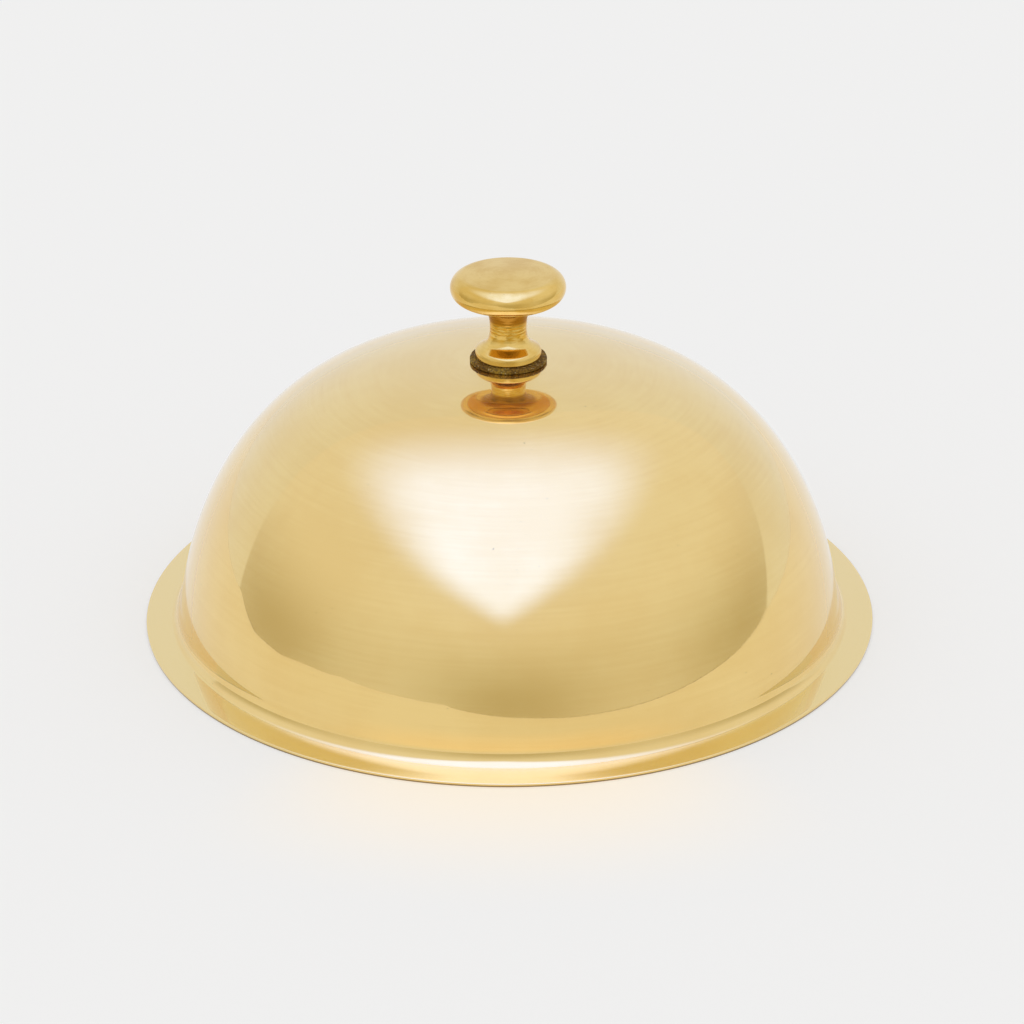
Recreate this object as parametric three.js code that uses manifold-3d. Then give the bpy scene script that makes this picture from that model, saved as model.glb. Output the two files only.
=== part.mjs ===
// Dish cover: a spun brass dome with a turned knob, held by a stud, washers and a cap nut.
// Millimetres, +Z up. The origin is the centre of the circle that the rim rests on.
import * as THREE from "three";
import { mergeVertices } from "three/addons/utils/BufferGeometryUtils.js";
import Module from "manifold-3d";

const wasm = await Module();
wasm.setup();

// ---- Driving dimensions -------------------------------------------------------------------

// Dome and rim, all one spun sheet
const domeDiameter = 226.5; // of the wall, carried down to the table
const rimWidth = 11.75; // from there to the cut edge
const domeHeight = 92.5; // of the crown's outer face above the table
const sheet = 1.2;
const crownPower = 3.02; // over 2 flattens the crown
const wallPower = 1.69; // under 2 keeps the wall from standing straight up
const wallFootHeight = 7; // where the wall starts to turn outward into the rim
const turnWidth = 3.45; // half-axes of that turn, a quarter of an ellipse on the polished face
const turnHeight = 7;
const rimRootHeight = 1.45; // of the rim's top where the turn runs out into it
const rimEdgeHeight = 1.2; // thickness at the cut edge of the rim
const rimEdgeRound = 0.3;
const restWidth = 2.4; // of the flat ring that the cover rests on
const crownSeatDiameter = 24; // flat pressed by the knob's fastening

// Knob, turned from bar
const discDiameter = 38.6;
const discEdgeRadius = 4.5; // of the full round edge
const discRise = 0.6; // of the slightly domed top above its edge
const knobHeight = 29.7;
const neckDiameter = 12.3;
const neckHeight = 9.8; // of the narrowest place above the knob's foot
const footDiameter = 22.2;
const footRound = 0.9; // between the foot's wall and its shoulder
const neckRunIn = 1.4; // of the shoulder's slope into the neck's hollow
const neckStraight = 0.72; // share of the neck's upper part that stays narrow
const underDiscFlat = 0.75; // share of the disc's underside that stays level
const shoulderHeight = 2.9; // top of the foot's rounded edge
const shoulderInnerDiameter = 16.4;
const shoulderInnerHeight = 4.6;
const footChamfer = 0.4;
const knobBoreDepth = 15;
const drillPointHeight = 1.8;

// Fastening
const studDiameter = 6;
const threadPitch = 1;
const threadDepth = 0.55;
const boreClearance = 0.3; // round the stud, all the way down
const seatGap = 0.05; // between two faces that are clamped together
const endGap = 1; // beyond each end of the stud
const leatherDiameter = 26;
const leatherThickness = 1.6;
const leatherEdgeRound = 0.5;
const padDiameter = 22;
const padThickness = 1.2;
const flatWasherDiameter = 18;
const flatWasherThickness = 1.6;
const washerEdgeRound = 0.4;
const springWasherDiameter = 11.8;
const springWasherThickness = 1.6;
const springWasherSlot = 1;
const springWasherSlant = 30; // degrees, of the slot's two ends
const nutAcrossFlats = 10;
const nutHexHeight = 5.5;
const nutHeight = 12;
const nutBoreDepth = 9.5;
const nutDomeDiameter = 9.5;
const nutChamfer = 0.9;
const nutChamferAngle = 30; // degrees

// Facets
const domeSides = 56;
const domeSteps = 13;
const turnSteps = 6;
const knobSides = 36;
const smallSides = 24;
const threadSides = 12;
const threadStepsPerTurn = 3;
const minimumThreadEnd = 0.01;
const splitRingSides = 14;
const boreOvershoot = 1; // of a cutter beyond the face that it enters

// ---- Derived sizes ------------------------------------------------------------------------

const domeRadius = domeDiameter / 2;
const rimRadius = domeRadius + rimWidth;
const boreRadius = studDiameter / 2 + boreClearance;

// Outer face of the dome: a superellipse with its own power for the crown and for the wall
const heightAtRadius = (r) =>
  domeHeight * (1 - (r / domeRadius) ** crownPower) ** (1 / wallPower);
const radiusAtHeight = (z) =>
  domeRadius * (1 - (z / domeHeight) ** wallPower) ** (1 / crownPower);

const seatRadius = crownSeatDiameter / 2;
const seatHeight = heightAtRadius(seatRadius);

// The knob's side of the sheet, from the sheet upward
const leatherZ = seatHeight + seatGap;
const knobZ = leatherZ + leatherThickness + seatGap;
const studTop = knobZ + knobBoreDepth - endGap;

// The inside, from the sheet downward
const padZ = seatHeight - sheet - seatGap - padThickness;
const flatWasherZ = padZ - seatGap - flatWasherThickness;
const springWasherZ = flatWasherZ - seatGap - springWasherThickness;
const nutZ = springWasherZ - seatGap;
const studBottom = nutZ - nutBoreDepth + endGap;

// ---- Helpers ------------------------------------------------------------------------------

const degrees = THREE.MathUtils.degToRad;
const point = (r, z) => new THREE.Vector2(r, z);

// Points of an arc, from one angle to another in degrees
function arc(centreR, centreZ, radius, fromAngle, toAngle, steps) {
  const points = [];
  for (let i = 0; i <= steps; i++) {
    const angle = degrees(fromAngle + ((toAngle - fromAngle) * i) / steps);
    points.push(point(centreR + radius * Math.cos(angle), centreZ + radius * Math.sin(angle)));
  }
  return points;
}

// Points of a curve that leaves one point and meets another along the two given handles
function bend(start, startHandle, endHandle, end, steps) {
  return new THREE.CubicBezierCurve(start, startHandle, endHandle, end).getPoints(steps);
}

// A solid turned about Z from an outline that runs anticlockwise in the (radius, height) plane.
// An outline that leaves the axis closes on itself.
function turned(outline, sides) {
  const points = outline.filter((p, i) => i === 0 || p.distanceTo(outline[i - 1]) > 1e-4);
  const onAxis = points[0].x === 0 && points.at(-1).x === 0;
  if (!onAxis) points.push(points[0].clone());
  const geometry = new THREE.LatheGeometry(points, sides);
  geometry.rotateX(Math.PI / 2);
  return geometry;
}

// A ring with a square bore and rounded outer edges, standing on z = 0
function ring(outerRadius, thickness, edgeRound) {
  const edge = outerRadius - edgeRound;
  return turned(
    [
      point(boreRadius, 0),
      ...arc(edge, edgeRound, edgeRound, -90, 0, 3),
      ...arc(edge, thickness - edgeRound, edgeRound, 0, 90, 3),
      point(boreRadius, thickness),
    ],
    smallSides,
  );
}

// A closed geometry as a manifold solid, and back
function toSolid(geometry) {
  const bare = geometry.clone();
  bare.deleteAttribute("normal");
  bare.deleteAttribute("uv");
  const merged = mergeVertices(bare, 1e-5);
  const vertProperties = new Float32Array(merged.attributes.position.array);
  const triVerts = new Uint32Array(merged.index.array);
  return new wasm.Manifold(new wasm.Mesh({ numProp: 3, vertProperties, triVerts }));
}

function toGeometry(solid) {
  const mesh = solid.getMesh();
  const geometry = new THREE.BufferGeometry();
  geometry.setAttribute("position", new THREE.BufferAttribute(mesh.vertProperties, 3));
  geometry.setIndex(new THREE.BufferAttribute(mesh.triVerts, 1));
  geometry.computeVertexNormals();
  return geometry;
}

function part(name, geometry, material, z = 0) {
  const mesh = new THREE.Mesh(geometry, material);
  mesh.name = name;
  mesh.position.z = z;
  return mesh;
}

const metal = (color, roughness) =>
  new THREE.MeshStandardMaterial({ color, roughness, metalness: 1 });

// ---- Pieces -------------------------------------------------------------------------------

// The dome, the turn at its foot and the rim, with the hole for the stud in the crown
function domeShell() {
  // Outer face from the crown down to the foot of the wall, evenly stepped in the angle t
  const outer = [];
  const start = Math.asin((seatRadius / domeRadius) ** (crownPower / 2));
  const end = Math.acos((wallFootHeight / domeHeight) ** (wallPower / 2));
  for (let i = 0; i <= domeSteps; i++) {
    const t = start + ((end - start) * i) / domeSteps;
    const r = domeRadius * Math.sin(t) ** (2 / crownPower);
    outer.push(point(r, heightAtRadius(r)));
  }

  // Inner face: the same line, one sheet further in
  const inner = outer.map((p, i) => {
    const before = outer[Math.max(i - 1, 0)];
    const after = outer[Math.min(i + 1, outer.length - 1)];
    const along = after.clone().sub(before).normalize();
    return i === 0 ? point(p.x, p.y - sheet) : point(p.x + along.y * sheet, p.y - along.x * sheet);
  });

  // The turn, from the wall's foot to the root of the rim, and one sheet below it
  const turnOuter = [];
  const turnInner = [];
  const first = Math.asin((rimRootHeight + turnHeight - wallFootHeight) / turnHeight);
  const centreR = radiusAtHeight(wallFootHeight) + turnWidth * Math.cos(first);
  for (let i = 1; i <= turnSteps; i++) {
    const t = first + ((Math.PI / 2 - first) * i) / turnSteps;
    const p = point(
      centreR - turnWidth * Math.cos(t),
      rimRootHeight + turnHeight * (1 - Math.sin(t)),
    );
    const normal = point(Math.cos(t) / turnWidth, Math.sin(t) / turnHeight).normalize();
    turnOuter.push(p);
    turnInner.push(p.clone().addScaledVector(normal, -sheet));
  }

  const outline = [
    point(boreRadius, seatHeight - sheet),
    ...inner,
    ...turnInner,
    point(rimRadius - rimEdgeRound - restWidth, 0),
    ...arc(rimRadius - rimEdgeRound, rimEdgeRound, rimEdgeRound, -90, 0, 2),
    ...arc(rimRadius - rimEdgeRound, rimEdgeHeight - rimEdgeRound, rimEdgeRound, 0, 90, 2),
    ...turnOuter.reverse(),
    ...outer.reverse(),
    point(boreRadius, seatHeight),
  ];
  return part("dome_shell", turned(outline, domeSides), metal(0xd8b56a, 0.12));
}

// The knob: a disc on a waisted neck over a flared foot, with a blind bore for the stud
function knob() {
  const discRadius = discDiameter / 2;
  const footRadius = footDiameter / 2;
  const neckRadius = neckDiameter / 2;
  const edgeR = discRadius - discEdgeRadius;
  const edgeZ = knobHeight - discRise - discEdgeRadius;
  const shoulderInner = point(shoulderInnerDiameter / 2, shoulderInnerHeight);
  const shoulderOuter = point(footRadius - footRound, shoulderHeight + footRound / 2);
  const shoulder = shoulderInner.clone().sub(shoulderOuter).normalize();
  const waist = point(neckRadius, neckHeight);
  const underEdge = point(edgeR, edgeZ - discEdgeRadius);
  const reach = underEdge.x - waist.x;
  const rise = underEdge.y - waist.y;

  const outline = [
    point(0, knobBoreDepth + drillPointHeight),
    point(boreRadius, knobBoreDepth),
    point(boreRadius, 0),
    point(footRadius - footChamfer, 0),
    point(footRadius, footChamfer),
    ...bend(
      point(footRadius, shoulderHeight - footRound),
      point(footRadius, shoulderHeight - footRound / 3),
      shoulderOuter.clone().addScaledVector(shoulder, -footRound / 2),
      shoulderOuter,
      4,
    ),
    ...bend(
      shoulderInner,
      shoulderInner.clone().addScaledVector(shoulder, neckRunIn),
      point(neckRadius, (neckHeight + shoulderInnerHeight) / 2),
      waist,
      6,
    ),
    ...bend(
      waist,
      point(neckRadius, neckHeight + neckStraight * rise),
      point(underEdge.x - underDiscFlat * reach, underEdge.y),
      underEdge,
      8,
    ),
    ...arc(edgeR, edgeZ, discEdgeRadius, -90, 90, 12),
    ...bend(
      point(edgeR, knobHeight - discRise),
      point((2 * edgeR) / 3, knobHeight - discRise / 2),
      point(edgeR / 3, knobHeight),
      point(0, knobHeight),
      4,
    ),
  ];
  return part("knob", turned(outline, knobSides), metal(0xd6a850, 0.18), knobZ);
}

// A rod with a single-start screw thread, standing on z = 0: its radius is a triangular wave
// that climbs one pitch for each turn
function threadedRod(length) {
  const rows = Math.round((length / threadPitch) * threadStepsPerTurn);
  const crest = studDiameter / 2;
  const positions = [0, 0, 0];
  for (let row = 0; row <= rows; row++) {
    const z = (length * row) / rows;
    const fade = Math.min(1, z / threadPitch, (length - z) / threadPitch);
    for (let side = 0; side < threadSides; side++) {
      const turn = side / threadSides;
      const phase = z / threadPitch - turn;
      const wave = Math.abs(2 * (phase - Math.floor(phase)) - 1);
      const r = crest - threadDepth * (1 - wave * Math.max(fade, minimumThreadEnd));
      const angle = 2 * Math.PI * turn;
      positions.push(r * Math.cos(angle), r * Math.sin(angle), z);
    }
  }
  positions.push(0, 0, length);

  const at = (row, side) => 1 + row * threadSides + (side % threadSides);
  const top = positions.length / 3 - 1;
  const index = [];
  for (let side = 0; side < threadSides; side++) {
    index.push(0, at(0, side + 1), at(0, side));
    index.push(top, at(rows, side), at(rows, side + 1));
    for (let row = 0; row < rows; row++) {
      index.push(at(row, side), at(row, side + 1), at(row + 1, side + 1));
      index.push(at(row, side), at(row + 1, side + 1), at(row + 1, side));
    }
  }
  const geometry = new THREE.BufferGeometry();
  geometry.setAttribute("position", new THREE.Float32BufferAttribute(positions, 3));
  geometry.setIndex(index);
  geometry.computeVertexNormals();
  return geometry;
}

// A split spring washer, pressed flat, with slanted ends at its slot
function springWasher() {
  const outerRadius = springWasherDiameter / 2;
  const half = springWasherSlot / 2;
  const lean = Math.tan(degrees(springWasherSlant)) * (outerRadius - boreRadius);
  const outerStart = Math.asin((half + lean) / outerRadius);
  const outerEnd = Math.asin((half - lean) / outerRadius);
  const innerStart = Math.asin(half / boreRadius);
  const shape = new THREE.Shape();
  shape.absarc(0, 0, outerRadius, outerStart, 2 * Math.PI - outerEnd, false);
  shape.absarc(0, 0, boreRadius, 2 * Math.PI - innerStart, innerStart, true);
  shape.closePath();
  return new THREE.ExtrudeGeometry(shape, {
    depth: springWasherThickness,
    bevelEnabled: false,
    curveSegments: splitRingSides,
  });
}

// A cap nut, hanging down from z = 0 with its blind bore open at the top
function capNut() {
  const corner = nutAcrossFlats / 2 / Math.cos(Math.PI / 6);
  const hexShape = new THREE.Shape();
  for (let i = 0; i < 6; i++) {
    const angle = (i * Math.PI) / 3;
    hexShape[i === 0 ? "moveTo" : "lineTo"](corner * Math.cos(angle), corner * Math.sin(angle));
  }
  hexShape.closePath();
  const hex = new THREE.ExtrudeGeometry(hexShape, { depth: nutHexHeight, bevelEnabled: false });
  hex.translate(0, 0, -nutHexHeight);

  // The turned blank that the hexagon is cut from: chamfered at both ends
  const flatRadius = corner - nutChamfer;
  const chamferHeight = nutChamfer * Math.tan(degrees(nutChamferAngle));
  const blank = turned(
    [
      point(0, -nutHexHeight),
      point(flatRadius, -nutHexHeight),
      point(corner, -nutHexHeight + chamferHeight),
      point(corner, -chamferHeight),
      point(flatRadius, 0),
      point(0, 0),
    ],
    smallSides,
  );

  // The cap: a short cylinder with a rounded end
  const domeR = nutDomeDiameter / 2;
  const cap = turned(
    [
      ...arc(0, -nutHeight + domeR, domeR, -90, 0, 7),
      point(domeR, -nutHexHeight / 2),
      point(0, -nutHexHeight / 2),
    ],
    smallSides,
  );

  const bore = turned(
    [
      point(0, -nutBoreDepth),
      point(boreRadius, -nutBoreDepth),
      point(boreRadius, boreOvershoot),
      point(0, boreOvershoot),
    ],
    smallSides,
  );

  const body = toSolid(hex).intersect(toSolid(blank)).add(toSolid(cap));
  return toGeometry(body.subtract(toSolid(bore)));
}

// ---- Assembly -----------------------------------------------------------------------------

const brass = metal(0xcfa35a, 0.3);
const leather = new THREE.MeshStandardMaterial({ color: 0x4a3517, roughness: 0.85, metalness: 0 });

const cover = new THREE.Group();
cover.add(
  domeShell(),
  knob(),
  part(
    "knob_washer",
    ring(leatherDiameter / 2, leatherThickness, leatherEdgeRound),
    leather,
    leatherZ,
  ),
  part("stud", threadedRod(studTop - studBottom), brass, studBottom),
  part("inner_pad", ring(padDiameter / 2, padThickness, washerEdgeRound), leather, padZ),
  part(
    "inner_washer",
    ring(flatWasherDiameter / 2, flatWasherThickness, washerEdgeRound),
    brass,
    flatWasherZ,
  ),
  part("lock_washer", springWasher(), metal(0x9a958a, 0.4), springWasherZ),
  part("cap_nut", capNut(), brass, nutZ),
);

export default cover;
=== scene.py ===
"""Looks for a dish cover: a spun brass dome with a turned knob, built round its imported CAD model."""

import math

import bpy
from mathutils import Euler, Matrix, Vector, noise


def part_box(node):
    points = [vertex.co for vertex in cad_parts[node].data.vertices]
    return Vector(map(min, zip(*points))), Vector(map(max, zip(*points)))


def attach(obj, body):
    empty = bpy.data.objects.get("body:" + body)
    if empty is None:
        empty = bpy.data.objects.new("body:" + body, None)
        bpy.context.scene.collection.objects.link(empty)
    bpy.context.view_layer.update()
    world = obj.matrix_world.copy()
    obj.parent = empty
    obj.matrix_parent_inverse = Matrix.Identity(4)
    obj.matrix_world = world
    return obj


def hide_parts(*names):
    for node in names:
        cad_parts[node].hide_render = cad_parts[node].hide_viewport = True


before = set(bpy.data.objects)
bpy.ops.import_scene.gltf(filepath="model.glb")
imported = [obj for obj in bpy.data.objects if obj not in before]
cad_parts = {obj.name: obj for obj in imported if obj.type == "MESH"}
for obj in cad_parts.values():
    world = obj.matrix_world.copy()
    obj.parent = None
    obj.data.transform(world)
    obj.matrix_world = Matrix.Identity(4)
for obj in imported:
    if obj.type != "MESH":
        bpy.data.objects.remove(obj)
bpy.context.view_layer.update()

MM = 0.001

# ---- Sizes of the real object, in millimetres, as in the CAD model -------------------------------

SHEET = 1.2
DOME_RADIUS = 113.25
DOME_HEIGHT = 92.5
CROWN_POWER = 3.02
WALL_POWER = 1.69
RIM_RADIUS = 125.0
WALL_FOOT_HEIGHT = 7.0
TURN_WIDTH = 3.45
TURN_HEIGHT = 7.0
RIM_ROOT_HEIGHT = 1.45
RIM_EDGE_HEIGHT = 1.2
RIM_EDGE_ROUND = 0.3
REST_WIDTH = 2.4
SEAT_RADIUS = 12.0
BORE_RADIUS = 3.3
DOME_SIDES = 256
DOME_STEPS = 150
TURN_STEPS = 30

STUD_RADIUS = 3.0
THREAD_PITCH = 1.0
THREAD_DEPTH = 0.55
NUT_CORNER = 5.0 / math.cos(math.pi / 6)


def base_of(node):
    """Height of a node's underside, in millimetres."""
    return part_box(node)[0].z / MM


def thickness_of(node):
    low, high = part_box(node)
    return (high.z - low.z) / MM


def radius_of(node):
    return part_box(node)[1].x / MM


# ---- Outlines in the (radius, height) plane -------------------------------------------------------


def arc(centre_r, centre_z, radius, start, end, steps):
    """Points of an arc, from one angle to another in degrees."""
    points = []
    for i in range(steps + 1):
        angle = math.radians(start + (end - start) * i / steps)
        points.append((centre_r + radius * math.cos(angle), centre_z + radius * math.sin(angle)))
    return points


def bend(start, start_handle, end_handle, end, steps):
    """Points of a cubic curve."""
    points = []
    for i in range(steps + 1):
        t = i / steps
        a, b, c, d = (1 - t) ** 3, 3 * t * (1 - t) ** 2, 3 * t * t * (1 - t), t**3
        corners = (start, start_handle, end_handle, end)
        points.append(tuple(sum(w * p[k] for w, p in zip((a, b, c, d), corners)) for k in (0, 1)))
    return points


def line(start, end, steps):
    """Points of a straight line, its first and last point among them."""
    return [tuple(a + (b - a) * i / steps for a, b in zip(start, end)) for i in range(steps + 1)]


def distinct(points):
    """The points without any that repeats the one before it."""
    kept = points[:1]
    for p in points[1:]:
        if math.dist(p, kept[-1]) > 1e-5:
            kept.append(p)
    return kept


# ---- Meshes ---------------------------------------------------------------------------------------


def add_mesh(name, vertices, faces, materials, face_materials=None, sharp_angle=32):
    """A mesh object made from points in millimetres, smooth apart from its real corners."""
    mesh = bpy.data.meshes.new(name)
    mesh.from_pydata([tuple(c * MM for c in v) for v in vertices], [], faces)
    for material in materials:
        mesh.materials.append(material)
    if face_materials:
        mesh.polygons.foreach_set("material_index", face_materials)
    mesh.shade_smooth()
    mesh.set_sharp_from_angle(angle=math.radians(sharp_angle))
    obj = bpy.data.objects.new(name, mesh)
    bpy.context.scene.collection.objects.link(obj)
    return obj


def turned(name, outline, sides, materials, base=0, shape=None, painted=None):
    """A solid turned about Z from an anticlockwise outline, standing on the height base.
    shape(r, z, angle) gives the radius and height that a point moves to, and painted is the second
    material's range of outline steps. An outline that leaves the axis closes on itself."""
    outline = distinct(outline)
    poles = outline[0][0] == 0
    vertices, rows = [], []
    for r, z in outline:
        if r == 0:
            rows.append([len(vertices)] * sides)
            vertices.append((0, 0, z + base))
            continue
        rows.append(range(len(vertices), len(vertices) + sides))
        for side in range(sides):
            angle = 2 * math.pi * side / sides
            r2, z2 = shape(r, z, angle) if shape else (r, z)
            vertices.append((r2 * math.cos(angle), r2 * math.sin(angle), z2 + base))
    faces, face_materials = [], []
    steps = len(rows) - 1 if poles else len(rows)
    for i in range(steps):
        low, high = rows[i], rows[(i + 1) % len(rows)]
        for side in range(sides):
            after = (side + 1) % sides
            corners = [low[side], low[after], high[after], high[side]]
            faces.append(list(dict.fromkeys(corners)))
            face_materials.append(1 if painted and painted[0] <= i < painted[1] else 0)
    return add_mesh(name, vertices, faces, materials, face_materials)


def wave(x, y=0.0, z=0.0, scale=1.0):
    """Smooth noise from -1 to 1, the same on every run."""
    return noise.noise(Vector((x, y, z)) * scale)


# ---- Node helpers ---------------------------------------------------------------------------------


class Graph:
    """Short names for the shader nodes that the materials share."""

    def __init__(self, tree):
        self.tree = tree
        tree.nodes.clear()

    def node(self, kind, inputs=None, **settings):
        made = self.tree.nodes.new(kind)
        for name, value in settings.items():
            setattr(made, name, value)
        for name, value in (inputs or {}).items():
            self.put(made.inputs[name], value)
        return made

    def put(self, socket, value):
        if isinstance(value, bpy.types.NodeSocket):
            self.tree.links.new(value, socket)
        else:
            socket.default_value = value

    def math(self, operation, a, b=0.0, clamp=False):
        made = self.node("ShaderNodeMath", {0: a, 1: b}, operation=operation, use_clamp=clamp)
        return made.outputs[0]

    def span(self, value, low, high, to_low=0.0, to_high=1.0, smooth=True):
        """value carried from one range to another, and held at its ends."""
        kind = "SMOOTHSTEP" if smooth else "LINEAR"
        inputs = {"Value": value, "From Min": low, "From Max": high}
        inputs.update({"To Min": to_low, "To Max": to_high})
        return self.node("ShaderNodeMapRange", inputs, interpolation_type=kind).outputs["Result"]

    def mix(self, factor, a, b, blend="MIX"):
        """A mix of two colours."""
        made = self.node("ShaderNodeMix", data_type="RGBA", blend_type=blend)
        for index, value in ((0, factor), (6, a), (7, b)):
            self.put(made.inputs[index], value)
        return made.outputs[2]

    def vector(self, x, y, z):
        return self.node("ShaderNodeCombineXYZ", {"X": x, "Y": y, "Z": z}).outputs[0]

    def noise(self, vector, scale, detail=2.0, roughness=0.5, w=None):
        inputs = {"Vector": vector, "Scale": scale, "Detail": detail, "Roughness": roughness}
        if w is not None:
            inputs["W"] = w
        dimensions = "3D" if w is None else "4D"
        return self.node("ShaderNodeTexNoise", inputs, noise_dimensions=dimensions).outputs["Fac"]

    def bump(self, height, distance, strength=1.0, normal=None):
        inputs = {"Height": height, "Distance": distance, "Strength": strength}
        if normal is not None:
            inputs["Normal"] = normal
        return self.node("ShaderNodeBump", inputs).outputs["Normal"]


def rgb(red, green, blue):
    return (red, green, blue, 1.0)


def new_material(name):
    material = bpy.data.materials.new(name)
    material.use_nodes = True
    graph = Graph(material.node_tree)
    shader = graph.node("ShaderNodeBsdfPrincipled")
    output = graph.node("ShaderNodeOutputMaterial")
    graph.put(output.inputs["Surface"], shader.outputs[0])
    return material, graph, shader


def around_axis(graph):
    """Coordinates for marks that run round the Z axis: radius, height, and the direction's two parts."""
    place = graph.node("ShaderNodeTexCoord").outputs["Object"]
    parts = graph.node("ShaderNodeSeparateXYZ", {0: place})
    x, y, z = parts.outputs
    square = graph.math("ADD", graph.math("MULTIPLY", x, x), graph.math("MULTIPLY", y, y))
    radius = graph.math("MAXIMUM", graph.math("SQRT", square), 1e-6)
    return place, radius, z, graph.math("DIVIDE", x, radius), graph.math("DIVIDE", y, radius)


def turning_marks(graph, axis, spacing, length, detail=3.0):
    """Noise drawn out round the axis: spacing in metres across the marks, length as turns per mark."""
    _, radius, height, across, along = axis
    r = graph.math("DIVIDE", radius, spacing)
    z = graph.math("DIVIDE", height, spacing)
    turn = graph.math("MULTIPLY", across, length)
    w = graph.math("MULTIPLY", along, length)
    return graph.noise(graph.vector(r, z, turn), 1.0, detail, 0.6, w=w)


# ---- Materials ------------------------------------------------------------------------------------

COAT_ROUGHNESS = 0.3
COAT_IOR = 1.5
# Painted reflection: darker, redder brass in rings in the knob neck's hollow
NECK_PAINTED_REFLECTION = rgb(0.74, 0.40, 0.045)
# Painted shade: a darker collar at the top of the knob's neck, under its disc
COLLAR_PAINTED_SHADE = rgb(0.42, 0.19, 0.02)
# Painted reflection: the flange beyond the rim radius is painted paler where it reflects the dome
RIM_PAINTED_REFLECTION = rgb(0.89, 0.665, 0.26)
# Painted shade: the lower half of the rim's cut edge, next to the floor, is painted dark
CUT_EDGE_PAINTED_SHADE = rgb(0.26, 0.16, 0.05)
PIT = rgb(0.16, 0.09, 0.03)
NECK_RADII = (0.009, 0.012)  # metres, here and below: the painted reflection fades out between them
COLLAR_DROP = (0.0075, 0.0055)  # below the top of the hollow
CUT_EDGE_RADII = (0.1241, 0.1247)
CUT_EDGE_HEIGHTS = (0.0004, 0.0008)


def brass(
    name,
    pale,
    deep,
    roughness,
    blotch_size,
    mark_spacing,
    mark_depth,
    waviness=0.0,
    pits=0.0,
    coat=0.0,
    hollow=None,
    rim=None,
):
    """Turned or spun brass: two tones in soft blotches, marks round the axis, pits of tarnish, and a
    thin lacquer. hollow is the range of heights on the neck that has a painted reflection, darker and
    redder brass in rings, and painted shade in a collar at its top; rim is the radius beyond which a
    painted reflection makes the metal paler, with painted shade on the lower half of its edge."""
    material, graph, shader = new_material(name)
    axis = around_axis(graph)
    place = axis[0]
    blotches = graph.noise(place, 1 / blotch_size, 5.0, 0.55)
    marks = turning_marks(graph, axis, mark_spacing, 2.5)
    fine = turning_marks(graph, axis, mark_spacing / 4, 6.0, 1.0)

    tone = graph.span(graph.math("ADD", blotches, graph.math("MULTIPLY", marks, 0.35)), 0.5, 0.85)
    colour = graph.mix(tone, pale, deep)
    if pits:
        speckle = graph.noise(place, 900.0, 2.0)
        field = graph.noise(place, 38.0, 2.0)
        spots = graph.math(
            "MULTIPLY", graph.span(speckle, 0.72, 0.78), graph.span(field, 0.5, 0.62), clamp=True
        )
        spots = graph.math("MULTIPLY", spots, pits)
        colour = graph.mix(spots, colour, PIT)
    # Painted reflection in the neck's hollow: darker, redder brass in rings
    if hollow:
        low, high = hollow
        neck = graph.span(axis[1], *NECK_RADII, 1.0, 0.0)
        inside = graph.math("MULTIPLY", neck, graph.span(axis[2], low, low + 0.002))
        inside = graph.math("MULTIPLY", inside, graph.span(axis[2], high, high + 0.003, 1.0, 0.0))
        rings = graph.span(marks, 0.4, 0.6, 0.2, 1.0)
        colour = graph.mix(graph.math("MULTIPLY", inside, rings), colour, NECK_PAINTED_REFLECTION)
        # Painted shade under the knob's disc: a darker collar at the top of the neck
        start, full = (high - drop for drop in COLLAR_DROP)
        collar = graph.math("MULTIPLY", inside, graph.span(axis[2], start, full))
        colour = graph.mix(collar, colour, COLLAR_PAINTED_SHADE)
    if rim:
        # Painted reflection: the flange beyond the rim radius is painted paler
        outside = graph.span(axis[1], rim, rim + 0.001)
        colour = graph.mix(outside, colour, RIM_PAINTED_REFLECTION)
        # Painted shade on the lower half of the cut edge, next to the floor
        edge = graph.span(axis[1], *CUT_EDGE_RADII)
        edge = graph.math("MULTIPLY", edge, graph.span(axis[2], *CUT_EDGE_HEIGHTS, 1.0, 0.0))
        colour = graph.mix(edge, colour, CUT_EDGE_PAINTED_SHADE)
    graph.put(shader.inputs["Base Color"], colour)

    smudges = graph.noise(place, 2.6 / blotch_size, 4.0, 0.6)
    wear = graph.math("ADD", graph.math("MULTIPLY", smudges, 0.6), graph.math("MULTIPLY", fine, 0.4))
    low, high = roughness
    graph.put(shader.inputs["Roughness"], graph.span(wear, 0.35, 0.65, low, high))

    height = graph.math("ADD", marks, graph.math("MULTIPLY", fine, 0.3))
    normal = graph.bump(height, mark_depth)
    if waviness:
        dents = graph.noise(place, 42.0, 1.0)
        normal = graph.bump(dents, waviness, normal=normal)
    graph.put(shader.inputs["Normal"], normal)

    shader.inputs["Metallic"].default_value = 1.0
    shader.inputs["Coat Weight"].default_value = coat
    shader.inputs["Coat Roughness"].default_value = COAT_ROUGHNESS
    shader.inputs["Coat IOR"].default_value = COAT_IOR
    return material


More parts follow.
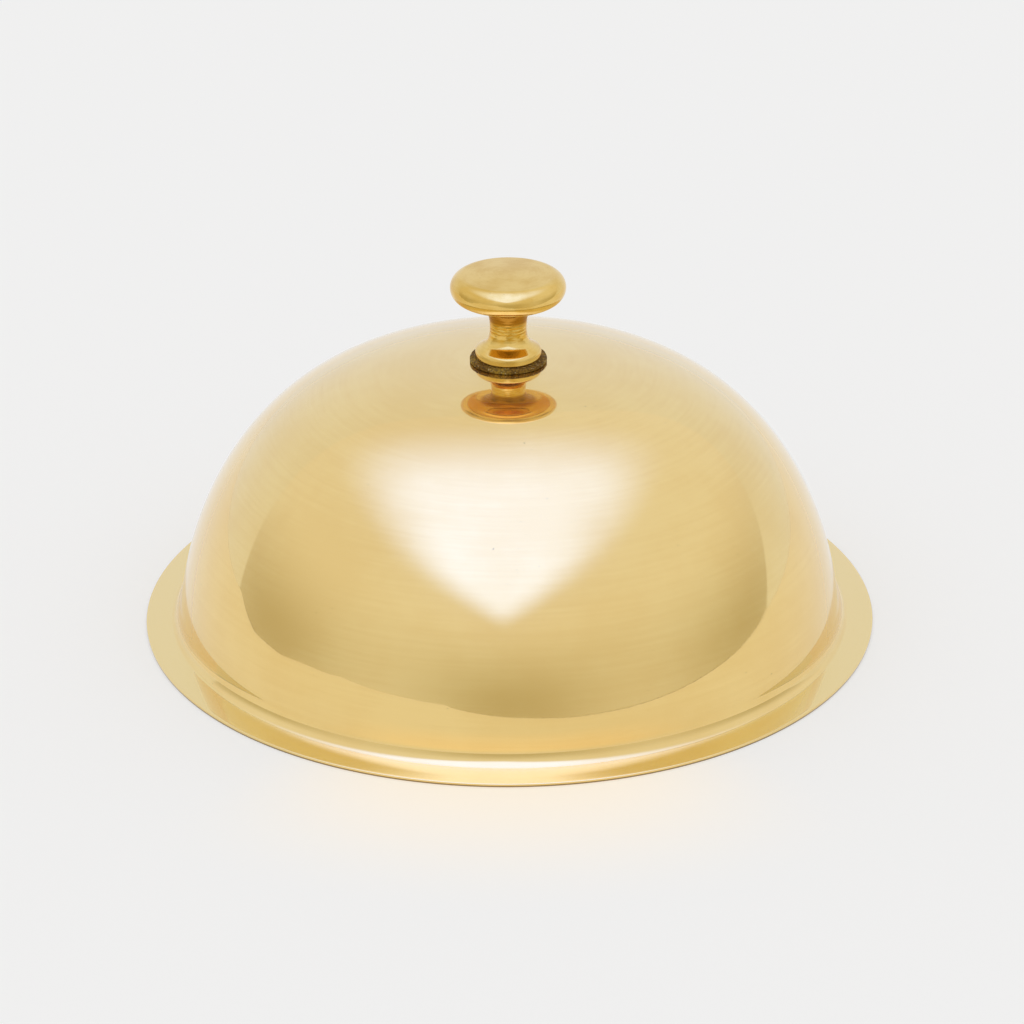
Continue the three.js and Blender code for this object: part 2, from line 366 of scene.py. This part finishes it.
def leather(name, pale, deep, specks):
    """Oiled leather: pebbled grain, dark creases, and pale specks of polish caught in it."""
    material, graph, shader = new_material(name)
    place = graph.node("ShaderNodeTexCoord").outputs["Object"]
    warp = graph.noise(place, 700.0, 3.0)
    grain = graph.node("ShaderNodeTexVoronoi", {"Vector": place, "Scale": 1500.0})
    pebbles = grain.outputs["Distance"]
    blotches = graph.noise(place, 160.0, 4.0)
    colour = graph.mix(graph.span(blotches, 0.35, 0.65), deep, pale)
    colour = graph.mix(graph.span(pebbles, 0.3, 0.7, 0.0, 0.6), colour, rgb(0.02, 0.012, 0.003))
    dust = graph.span(graph.noise(place, 1300.0, 1.0), 0.66, 0.72, 0.0, specks)
    colour = graph.mix(dust, colour, rgb(0.62, 0.5, 0.27))
    graph.put(shader.inputs["Base Color"], colour)
    graph.put(shader.inputs["Roughness"], graph.span(warp, 0.3, 0.7, 0.55, 0.85))
    height = graph.math("SUBTRACT", warp, graph.math("MULTIPLY", pebbles, 0.7))
    graph.put(shader.inputs["Normal"], graph.bump(height, 0.0002, 0.8))
    shader.inputs["Specular IOR Level"].default_value = 0.2
    return material


def steel(name):
    """Zinc-plated spring steel in blotches, with fine marks round the axis."""
    material, graph, shader = new_material(name)
    axis = around_axis(graph)
    marks = turning_marks(graph, axis, 0.0002, 4.0)
    blotches = graph.noise(axis[0], 420.0, 4.0)
    tone = graph.math("ADD", graph.math("MULTIPLY", marks, 0.5), graph.math("MULTIPLY", blotches, 0.5))
    colour = graph.mix(graph.span(tone, 0.35, 0.65), rgb(0.42, 0.41, 0.38), rgb(0.62, 0.61, 0.58))
    graph.put(shader.inputs["Base Color"], colour)
    graph.put(shader.inputs["Roughness"], graph.span(blotches, 0.3, 0.7, 0.28, 0.48))
    graph.put(shader.inputs["Normal"], graph.bump(marks, 0.00001))
    shader.inputs["Metallic"].default_value = 1.0
    return material


dome_brass = brass(
    "dome_brass",
    pale=rgb(0.90, 0.655, 0.245),
    deep=rgb(0.86, 0.60, 0.205),
    roughness=(0.02, 0.06),
    blotch_size=0.045,
    mark_spacing=0.0012,
    mark_depth=0.0000006,
    waviness=0.00004,
    pits=0.5,
    coat=0.9,
    rim=0.1155,
)
inside_brass = brass(
    "inside_brass",
    pale=rgb(0.78, 0.55, 0.22),
    deep=rgb(0.58, 0.37, 0.13),
    roughness=(0.22, 0.38),
    blotch_size=0.03,
    mark_spacing=0.0014,
    mark_depth=0.000008,
    pits=0.8,
)
knob_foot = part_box("knob")[0].z
knob_brass = brass(
    "knob_brass",
    pale=rgb(0.86, 0.59, 0.18),
    deep=rgb(0.76, 0.48, 0.11),
    roughness=(0.06, 0.14),
    blotch_size=0.009,
    mark_spacing=0.0006,
    mark_depth=0.000002,
    pits=0.6,
    hollow=(knob_foot + 0.006, knob_foot + 0.0195),
)
hardware_brass = brass(
    "hardware_brass",
    pale=rgb(0.80, 0.58, 0.25),
    deep=rgb(0.60, 0.40, 0.14),
    roughness=(0.18, 0.36),
    blotch_size=0.006,
    mark_spacing=0.0003,
    mark_depth=0.000006,
    pits=0.7,
)
washer_leather = leather("washer_leather", rgb(0.44, 0.27, 0.03), rgb(0.24, 0.12, 0.01), 0.8)
pad_leather = leather("pad_leather", rgb(0.24, 0.15, 0.06), rgb(0.12, 0.07, 0.025), 0.2)
spring_steel = steel("spring_steel")

# ---- The dome -------------------------------------------------------------------------------------


def dome_face(r):
    """Height of the dome's outer face at a radius."""
    return DOME_HEIGHT * (1 - (r / DOME_RADIUS) ** CROWN_POWER) ** (1 / WALL_POWER)


def dome_outline():
    """The sheet's closed outline, and the range of its steps that face the inside."""
    start = math.asin((SEAT_RADIUS / DOME_RADIUS) ** (CROWN_POWER / 2))
    end = math.acos((WALL_FOOT_HEIGHT / DOME_HEIGHT) ** (WALL_POWER / 2))
    outer = []
    for i in range(DOME_STEPS + 1):
        r = DOME_RADIUS * math.sin(start + (end - start) * i / DOME_STEPS) ** (2 / CROWN_POWER)
        outer.append((r, dome_face(r)))
    inner = [(SEAT_RADIUS, outer[0][1] - SHEET)]
    for i in range(1, len(outer)):
        before, after = outer[i - 1], outer[min(i + 1, DOME_STEPS)]
        run, drop = after[0] - before[0], after[1] - before[1]
        length = math.hypot(run, drop)
        inner.append((outer[i][0] + drop / length * SHEET, outer[i][1] - run / length * SHEET))

    # The turn, part of an ellipse, from the wall's foot to the root of the rim
    first = math.asin((RIM_ROOT_HEIGHT + TURN_HEIGHT - WALL_FOOT_HEIGHT) / TURN_HEIGHT)
    turn_r = outer[-1][0] + TURN_WIDTH * math.cos(first)
    turn_outer, turn_inner = [], []
    for i in range(TURN_STEPS + 1):
        t = first + (math.pi / 2 - first) * i / TURN_STEPS
        r = turn_r - TURN_WIDTH * math.cos(t)
        z = RIM_ROOT_HEIGHT + TURN_HEIGHT * (1 - math.sin(t))
        normal = Vector((math.cos(t) / TURN_WIDTH, math.sin(t) / TURN_HEIGHT)).normalized()
        turn_outer.append((r, z))
        turn_inner.append((r - normal.x * SHEET, z - normal.y * SHEET))
    edge_r = RIM_RADIUS - RIM_EDGE_ROUND
    inside = inner[:-1] + turn_inner + [(edge_r - REST_WIDTH, 0)]
    rim = arc(edge_r, RIM_EDGE_ROUND, RIM_EDGE_ROUND, -90, 0, 5)
    rim += arc(edge_r, RIM_EDGE_HEIGHT - RIM_EDGE_ROUND, RIM_EDGE_ROUND, 0, 90, 5)
    rim += line(rim[-1], turn_outer[-1], 12)
    seat = outer[0][1]
    bottom = line((BORE_RADIUS, seat - SHEET), inside[0], 3)
    top = line(outer[0], (BORE_RADIUS, seat), 3)
    inside = distinct(bottom + inside)
    outline = inside + rim + turn_outer[::-1] + outer[::-1] + top
    return distinct(outline), (0, len(inside))


outline, inside_steps = dome_outline()
dome = turned("dome", outline, DOME_SIDES, [dome_brass, inside_brass], painted=inside_steps)

# ---- The knob -------------------------------------------------------------------------------------

DISC_RADIUS = 19.3
DISC_EDGE = 4.5
DISC_RISE = 0.6
NECK_RADIUS = 6.15
NECK_HEIGHT = 9.8
FOOT_RADIUS = 11.1
FOOT_ROUND = 0.9
FOOT_CHAMFER = 0.4
SHOULDER_HEIGHT = 2.9
SHOULDER_INNER = (8.2, 4.6)
KNOB_BORE_DEPTH = 15.0
DRILL_POINT = 1.8
SHOULDER_RUN_IN = 1.4  # of the shoulder's slope into the neck
NECK_STRAIGHT = 0.72  # share of the neck's upper part that stays narrow
UNDER_DISC_FLAT = 0.75  # share of the disc's underside that stays level
KNOB_SIDES = 192
GROOVE_SPACING = 1.15
GROOVE_DEPTH = 0.05
GROOVE_MIDDLE = NECK_HEIGHT + 1.5
GROOVE_REACH = 7.5  # to either side of the middle
GROOVE_RADIUS = 11.0  # beyond which the metal is smooth


def knob_outline():
    height = thickness_of("knob")
    edge_r = DISC_RADIUS - DISC_EDGE
    edge_z = height - DISC_RISE - DISC_EDGE
    shoulder_outer = (FOOT_RADIUS - FOOT_ROUND, SHOULDER_HEIGHT + FOOT_ROUND / 2)
    run = SHOULDER_INNER[0] - shoulder_outer[0]
    climb = SHOULDER_INNER[1] - shoulder_outer[1]
    length = math.hypot(run, climb)

    def along_shoulder(point, distance):
        return (point[0] + run / length * distance, point[1] + climb / length * distance)

    waist = (NECK_RADIUS, NECK_HEIGHT)
    under_edge = (edge_r, edge_z - DISC_EDGE)
    points = [
        (0, KNOB_BORE_DEPTH + DRILL_POINT),
        (BORE_RADIUS, KNOB_BORE_DEPTH),
        (BORE_RADIUS, 0),
        (FOOT_RADIUS - FOOT_CHAMFER, 0),
        (FOOT_RADIUS, FOOT_CHAMFER),
    ]
    points += bend(
        (FOOT_RADIUS, SHOULDER_HEIGHT - FOOT_ROUND),
        (FOOT_RADIUS, SHOULDER_HEIGHT - FOOT_ROUND / 3),
        along_shoulder(shoulder_outer, -FOOT_ROUND / 2),
        shoulder_outer,
        12,
    )
    neck_start = (NECK_RADIUS, (NECK_HEIGHT + SHOULDER_INNER[1]) / 2)
    neck = bend(SHOULDER_INNER, along_shoulder(SHOULDER_INNER, SHOULDER_RUN_IN), neck_start, waist, 40)
    rise = under_edge[1] - waist[1]
    reach = under_edge[0] - waist[0]
    neck += bend(
        waist,
        (NECK_RADIUS, NECK_HEIGHT + NECK_STRAIGHT * rise),
        (under_edge[0] - UNDER_DISC_FLAT * reach, under_edge[1]),
        under_edge,
        80,
    )
    points += neck
    points += arc(edge_r, edge_z, DISC_EDGE, -90, 90, 48)
    points += bend(
        (edge_r, height - DISC_RISE),
        (edge_r * 2 / 3, height - DISC_RISE / 2),
        (edge_r / 3, height),
        (0, height),
        20,
    )
    return points


def neck_grooves(r, z, angle):
    """Turning grooves left on the neck, deepest at its waist, that the polishing didn't reach."""
    on_neck = r < GROOVE_RADIUS and z > SHOULDER_INNER[1] + 0.1
    depth = max(0.0, 1 - abs(z - GROOVE_MIDDLE) / GROOVE_REACH) if on_neck else 0.0
    ripple = math.cos(2 * math.pi * z / GROOVE_SPACING) + 1.2 * wave(z, scale=1.9)
    return r - GROOVE_DEPTH * depth * (0.5 + 0.5 * ripple), z


knob = turned("turned_knob", knob_outline(), KNOB_SIDES, [knob_brass], base_of("knob"), neck_grooves)

# ---- Washers --------------------------------------------------------------------------------------


def washer_outline(radius, thickness, edge_round, bore=BORE_RADIUS, bore_round=0.15):
    """A flat ring with rounded edges, standing on height 0."""
    edge, hole = radius - edge_round, bore + bore_round
    points = line((hole, 0), (edge, 0), 6)
    points += arc(edge, edge_round, edge_round, -90, 0, 6)
    points += arc(edge, thickness - edge_round, edge_round, 0, 90, 6)
    points += line((edge, thickness), (hole, thickness), 6)
    points += arc(hole, thickness - bore_round, bore_round, 90, 180, 3)
    points += arc(hole, bore_round, bore_round, 180, 270, 3)
    return points


def leather_edge(radius, seed):
    """A cut leather edge: slightly out of round, and furry where the knife went through."""

    def shape(r, z, angle):
        share = max(0.0, (r - 0.8 * radius) / (0.2 * radius))
        x, y = math.cos(angle), math.sin(angle)
        uneven = 0.16 * wave(x, y, seed, scale=2.0) + 0.1 * wave(x, y, z / 12 + seed, scale=14.0)
        fur = 0.05 * wave(x, y, z / 4 + seed, scale=45.0)
        return r - share * (0.12 + uneven + fur), z

    return shape


def leather_ring(name, node, material, edge_round, seed):
    radius, thickness = radius_of(node), thickness_of(node)
    outline = washer_outline(radius, thickness, edge_round)
    shape = leather_edge(radius, seed)
    return turned(name, outline, 180, [material], base_of(node), shape)


knob_washer = leather_ring("knob_washer_leather", "knob_washer", washer_leather, 0.5, 3.0)
inner_pad = leather_ring("inner_pad_leather", "inner_pad", pad_leather, 0.4, 8.0)
inner_washer = turned(
    "inner_washer_brass",
    washer_outline(radius_of("inner_washer"), thickness_of("inner_washer"), 0.4),
    96,
    [hardware_brass],
    base_of("inner_washer"),
)


def split_ring(name, node, slot, slant, steps=96):
    """A spring washer: a rounded bar bent into a ring, with slanted ends at its slot."""
    radius, thickness = radius_of(node), thickness_of(node)
    outline = distinct(washer_outline(radius, thickness, 0.2)[:-1])
    lean = math.tan(math.radians(slant)) * (radius - BORE_RADIUS)
    base = base_of(node)
    vertices = []
    for i in range(steps + 1):
        for r, z in outline:
            share = (r - BORE_RADIUS) / (radius - BORE_RADIUS)
            first = math.asin((slot / 2 + lean * share) / r)
            last = 2 * math.pi - math.asin((slot / 2 - lean * share) / r)
            angle = first + (last - first) * i / steps
            vertices.append((r * math.cos(angle), r * math.sin(angle), z + base))
    count = len(outline)
    faces = [list(range(count))[::-1], list(range(steps * count, (steps + 1) * count))]
    for i in range(steps):
        for j in range(count):
            k = (j + 1) % count
            low, high = i * count, (i + 1) * count
            faces.append([low + j, high + j, high + k, low + k])
    return add_mesh(name, vertices, faces, [spring_steel])


lock_washer = split_ring("lock_washer_steel", "lock_washer", slot=1.0, slant=30)

# ---- The stud and its cap nut ---------------------------------------------------------------------


def threaded_rod(name, node, sides=48, rows_per_turn=12):
    """A rod with a single-start thread: its radius is a wave that climbs one pitch for each turn."""
    length, base = thickness_of(node), base_of(node)
    rows = round(length / THREAD_PITCH * rows_per_turn)
    vertices = [(0, 0, base)]
    for row in range(rows + 1):
        z = length * row / rows
        fade = min(1.0, z / THREAD_PITCH, (length - z) / THREAD_PITCH)
        for side in range(sides):
            turn = side / sides
            crest = abs(2 * ((z / THREAD_PITCH - turn) % 1) - 1)
            crest = min(1.0, max(0.0, 1.25 * crest - 0.1))
            r = STUD_RADIUS - THREAD_DEPTH * (1 - crest * max(fade, 0.0))
            angle = 2 * math.pi * turn
            vertices.append((r * math.cos(angle), r * math.sin(angle), z + base))
    vertices.append((0, 0, length + base))
    top = len(vertices) - 1
    faces = []
    for side in range(sides):
        after = (side + 1) % sides
        faces.append([0, 1 + after, 1 + side])
        faces.append([top, top - sides + side, top - sides + after])
        for row in range(rows):
            low, high = 1 + row * sides, 1 + (row + 1) * sides
            faces.append([low + side, low + after, high + after, high + side])
    return add_mesh(name, vertices, faces, [hardware_brass], sharp_angle=50)


stud = threaded_rod("stud_thread", "stud")

NUT_HEX_HEIGHT = 5.5
NUT_HEIGHT = 12.0
NUT_BORE_DEPTH = 9.5
NUT_DOME_RADIUS = 4.75
NUT_CHAMFER = 0.9


def nut_outline():
    """The nut as a turned blank, hanging down from height 0."""
    rise = NUT_CHAMFER * math.tan(math.radians(30))
    flat = NUT_CORNER - NUT_CHAMFER
    points = arc(0, NUT_DOME_RADIUS - NUT_HEIGHT, NUT_DOME_RADIUS, -90, 0, 20)
    points[0] = (0, -NUT_HEIGHT)
    points += [(NUT_DOME_RADIUS, -NUT_HEX_HEIGHT)]
    points += line((flat, -NUT_HEX_HEIGHT), (NUT_CORNER, -NUT_HEX_HEIGHT + rise), 10)
    points += line((NUT_CORNER, -NUT_HEX_HEIGHT + rise), (NUT_CORNER, -rise), 8)
    points += line((NUT_CORNER, -rise), (flat, 0), 10)
    points += [(BORE_RADIUS + 0.3, 0), (BORE_RADIUS, -0.3), (BORE_RADIUS, -NUT_BORE_DEPTH)]
    points += [(0, -NUT_BORE_DEPTH - 0.4)]
    return points


def hexagon(r, z, angle):
    """The blank cut to six flats."""
    off_flat = (angle % (math.pi / 3)) - math.pi / 6
    return min(r, NUT_CORNER * math.cos(math.pi / 6) / math.cos(off_flat)), z


nut_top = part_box("cap_nut")[1].z / MM
cap_nut = turned("cap_nut_brass", nut_outline(), 144, [hardware_brass], nut_top, hexagon)

# ---- Each piece's body, CAD node and finish -------------------------------------------------------

for piece, node, finish in (
    (dome, "dome_shell", "polished_brass"),
    (knob, "knob", "turned_brass"),
    (knob_washer, "knob_washer", "leather"),
    (stud, "stud", "plain_brass"),
    (inner_pad, "inner_pad", "leather"),
    (inner_washer, "inner_washer", "plain_brass"),
    (lock_washer, "lock_washer", "spring_steel"),
    (cap_nut, "cap_nut", "plain_brass"),
):
    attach(piece, "root")
    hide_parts(node)

# ---- Camera ---------------------------------------------------------------------------------------

PITCH_DOWN = 25.37
YAW = -0.053
ROLL = -0.252

camera_data = bpy.data.cameras.new("camera")
camera_data.lens = 121.07
camera_data.sensor_width = 36.0
camera = bpy.data.objects.new("camera", camera_data)
bpy.context.scene.collection.objects.link(camera)
aim = Euler((math.radians(90 - PITCH_DOWN), 0, math.radians(YAW))).to_matrix()
turn = aim @ Matrix.Rotation(math.radians(ROLL), 3, "Z")
camera.matrix_world = Matrix.Translation((0.0, -1.0625, 0.54006)) @ turn.to_4x4()
bpy.context.scene.camera = camera
bpy.context.scene.view_settings.view_transform = "Standard"

# ---- Floor, room and lights -----------------------------------------------------------------------

PAPER = 0.847
FLOOR_GLOW = rgb(0.445, 0.432, 0.40)
FLOOR_WARM = rgb(0.575, 0.475, 0.32)
FLOOR_ALBEDO = 0.5
WARM_RADII = (0.118, 0.2)
WARM_DIRECTIONS = (-1.0, -0.78)  # Y part of the direction from the axis


def stage_object(name, vertices, faces, build):
    """A stage object whose surface shader is what build(graph) returns."""
    mesh = bpy.data.meshes.new(name)
    mesh.from_pydata(vertices, [], faces)
    material = bpy.data.materials.new(name)
    material.use_nodes = True
    graph = Graph(material.node_tree)
    output = graph.node("ShaderNodeOutputMaterial")
    graph.put(output.inputs["Surface"], build(graph))
    mesh.materials.append(material)
    obj = bpy.data.objects.new(name, mesh)
    bpy.context.scene.collection.objects.link(obj)
    return obj


def floor_shader(graph):
    """White paper: it mostly glows, so that the shadows on it stay faint. A painted glow in front of the
    rim stands for the warm light that the brass throws onto it."""
    _, radius, _, _, along = around_axis(graph)
    near = graph.span(radius, *WARM_RADII, 1.0, 0.0)
    warm = graph.math("MULTIPLY", near, graph.span(along, *WARM_DIRECTIONS, 1.0, 0.0))
    glow = graph.node("ShaderNodeEmission", {"Color": graph.mix(warm, FLOOR_GLOW, FLOOR_WARM)})
    paper = graph.node("ShaderNodeBsdfDiffuse", {"Color": rgb(*[FLOOR_ALBEDO] * 3)})
    both = graph.node("ShaderNodeAddShader")
    graph.put(both.inputs[0], glow.outputs[0])
    graph.put(both.inputs[1], paper.outputs[0])
    return both.outputs[0]


FLOOR_FRONT = -0.42
FLOOR_REACH = 2.5
floor = stage_object(
    "floor",
    [
        (-FLOOR_REACH, FLOOR_FRONT, 0),
        (FLOOR_REACH, FLOOR_FRONT, 0),
        (FLOOR_REACH, FLOOR_REACH, 0),
        (-FLOOR_REACH, FLOOR_REACH, 0),
    ],
    [(0, 1, 2, 3)],
    floor_shader,
)
floor.visible_glossy = False
floor.visible_diffuse = False
floor.visible_shadow = False

# What the brass reflects of the floor: the same paper, whose front edge curves round the photographer
PAPER_DEPTH = -0.0005
SHADE_SCALE = 1.04
PAPER_EDGE = [
    (2.5, 0.3),
    (1.25, 0.05),
    (0.55, -0.15),
    (0.3, -0.22),
    (0.17, -0.26),
    (0.08, -0.31),
    (0.0, -0.4),
    (-0.08, -0.52),
    (-0.3, -0.95),
    (-0.95, -2.5),
    (-4.0, -2.5),
    (-1.45, -0.85),
    (-0.7, -0.27),
    (-0.45, -0.13),
    (-0.45, -0.03),
    (-2.5, 0.7),
    (-2.5, 2.5),
    (2.5, 2.5),
]
paper = stage_object(
    "paper",
    [(x, y, PAPER_DEPTH) for x, y in PAPER_EDGE],
    [tuple(range(len(PAPER_EDGE)))[::-1]],
    floor_shader,
)
paper.visible_camera = False

# The shade along the paper's front edge
shade = stage_object(
    "shade",
    [(SHADE_SCALE * x, SHADE_SCALE * y, 2 * PAPER_DEPTH) for x, y in PAPER_EDGE],
    [tuple(range(len(PAPER_EDGE)))[::-1]],
    lambda graph: graph.node("ShaderNodeEmission", {"Color": rgb(0.32, 0.28, 0.20)}).outputs[0],
)
shade.visible_camera = False

# The softbox overhead: a panel with a straight back edge and a pointed front, which fades at its edges
SOFTBOX_HEIGHT = 1.3
SOFTBOX_GRID = ((-1.5, -2.9), (1.4, 1.2), 0.05)  # its low corner, its high corner and its spacing
SOFTBOX_GLOW = 2.35
SOFTBOX_TINT = rgb(0.12, 0.25, 1.0)
SOFTBOX_TINT_AGAIN = rgb(0.22, 0.37, 1.8)
SOFTBOX_LEFT = -0.89
SOFTBOX_RIGHT = 0.72
SOFTBOX_BACK = 0.30
SOFTBOX_SHOULDER = -1.1
SOFTBOX_TIP = (-0.10, -2.35)


def reflected_again(graph):
    """1 from a ray's second reflection on. The lights change colour there, because this brass comes out
    too red where it reflects itself."""
    depth = graph.node("ShaderNodeLightPath").outputs["Glossy Depth"]
    return graph.math("GREATER_THAN", depth, 1.5)


def fade(distance, inner, outer):
    """1 well inside an edge, 0 well outside it: distance is positive outside."""
    t = min(1.0, max(0.0, (distance + inner) / (inner + outer)))
    return 1 - t * t * (3 - 2 * t)


def softbox_level(x, y):
    """How bright the softbox is at a point, from 0 to 1."""
    level = fade(y - SOFTBOX_BACK, 0.5, 0.75) * fade(SOFTBOX_LEFT - x, 0.45, 0.4)
    level *= fade(x - SOFTBOX_RIGHT, 0.45, 0.4)
    for corner_x in (SOFTBOX_LEFT, SOFTBOX_RIGHT):
        run, rise = SOFTBOX_TIP[0] - corner_x, SOFTBOX_TIP[1] - SOFTBOX_SHOULDER
        side = (x - corner_x) * rise - (y - SOFTBOX_SHOULDER) * run
        side *= math.copysign(1.0, corner_x) / math.hypot(run, rise)
        level *= fade(-side, 0.3, 0.3)
    return level


def softbox():
    """A grid with the brightness at each of its points in an attribute named glow."""
    low, high, step = SOFTBOX_GRID
    columns = round((high[0] - low[0]) / step)
    rows = round((high[1] - low[1]) / step)
    vertices = [
        (low[0] + step * i, low[1] + step * j, SOFTBOX_HEIGHT)
        for j in range(rows + 1)
        for i in range(columns + 1)
    ]
    faces = []
    for j in range(rows):
        for i in range(columns):
            a = j * (columns + 1) + i
            faces.append((a, a + 1, a + columns + 2, a + columns + 1))

    def shader(graph):
        level = graph.node("ShaderNodeAttribute", attribute_name="glow").outputs["Fac"]
        strength = graph.math("MULTIPLY", level, SOFTBOX_GLOW)
        tint = graph.mix(reflected_again(graph), SOFTBOX_TINT, SOFTBOX_TINT_AGAIN)
        lamp = graph.node("ShaderNodeEmission", {"Color": tint, "Strength": strength})
        clear = graph.node("ShaderNodeBsdfTransparent")
        both = graph.node("ShaderNodeAddShader")
        graph.put(both.inputs[0], clear.outputs[0])
        graph.put(both.inputs[1], lamp.outputs[0])
        return both.outputs[0]

    panel = stage_object("softbox", vertices, faces, shader)
    attribute = panel.data.attributes.new("glow", "FLOAT", "POINT")
    attribute.data.foreach_set("value", [softbox_level(x, y) for x, y, _ in vertices])
    panel.visible_camera = False
    panel.visible_diffuse = False
    return panel


softbox()


def world_shader():
    """The room: white paper behind, a dimmer room in front that is darkest at the horizon, and a plain
    pale background for the camera."""
    world = bpy.data.worlds.new("room")
    world.use_nodes = True
    bpy.context.scene.world = world
    graph = Graph(world.node_tree)
    direction = graph.node("ShaderNodeTexCoord").outputs["Generated"]
    x, y, z = graph.node("ShaderNodeSeparateXYZ", {0: direction}).outputs

    lift = graph.span(z, 0.0, 0.5)
    side = graph.math("MULTIPLY", x, x)
    lobes = graph.math("MULTIPLY", side, graph.math("SUBTRACT", 1.0, side))
    lobes = graph.math("MULTIPLY", lobes, graph.span(z, 0.0, 0.45, 2.4, 0.0))
    level = graph.math("ADD", lift, lobes, clamp=True)
    again = reflected_again(graph)
    dark = graph.mix(again, rgb(0.60, 0.58, 0.47), rgb(0.48, 0.52, 0.48))
    light = graph.mix(again, rgb(0.87, 0.89, 0.95), rgb(0.86, 0.99, 1.2))
    room = graph.mix(level, dark, light)

    lean = graph.math("ADD", graph.math("MULTIPLY", x, 0.4), 0.65)
    edge = graph.math("SUBTRACT", 0.26, graph.math("MULTIPLY", x, 0.08))
    edge = graph.math("ADD", edge, graph.math("MULTIPLY", lean, z))
    past = graph.math("SUBTRACT", y, edge)
    sweep = graph.span(past, -0.012, 0.012)
    room = graph.mix(sweep, room, rgb(0.84, 0.88, 0.97))

    is_camera = graph.node("ShaderNodeLightPath").outputs["Is Camera Ray"]
    colour = graph.mix(is_camera, room, rgb(PAPER, PAPER, PAPER))
    background = graph.node("ShaderNodeBackground", {"Color": colour, "Strength": 1.0})
    output = graph.node("ShaderNodeOutputWorld")
    graph.put(output.inputs["Surface"], background.outputs[0])


world_shader()
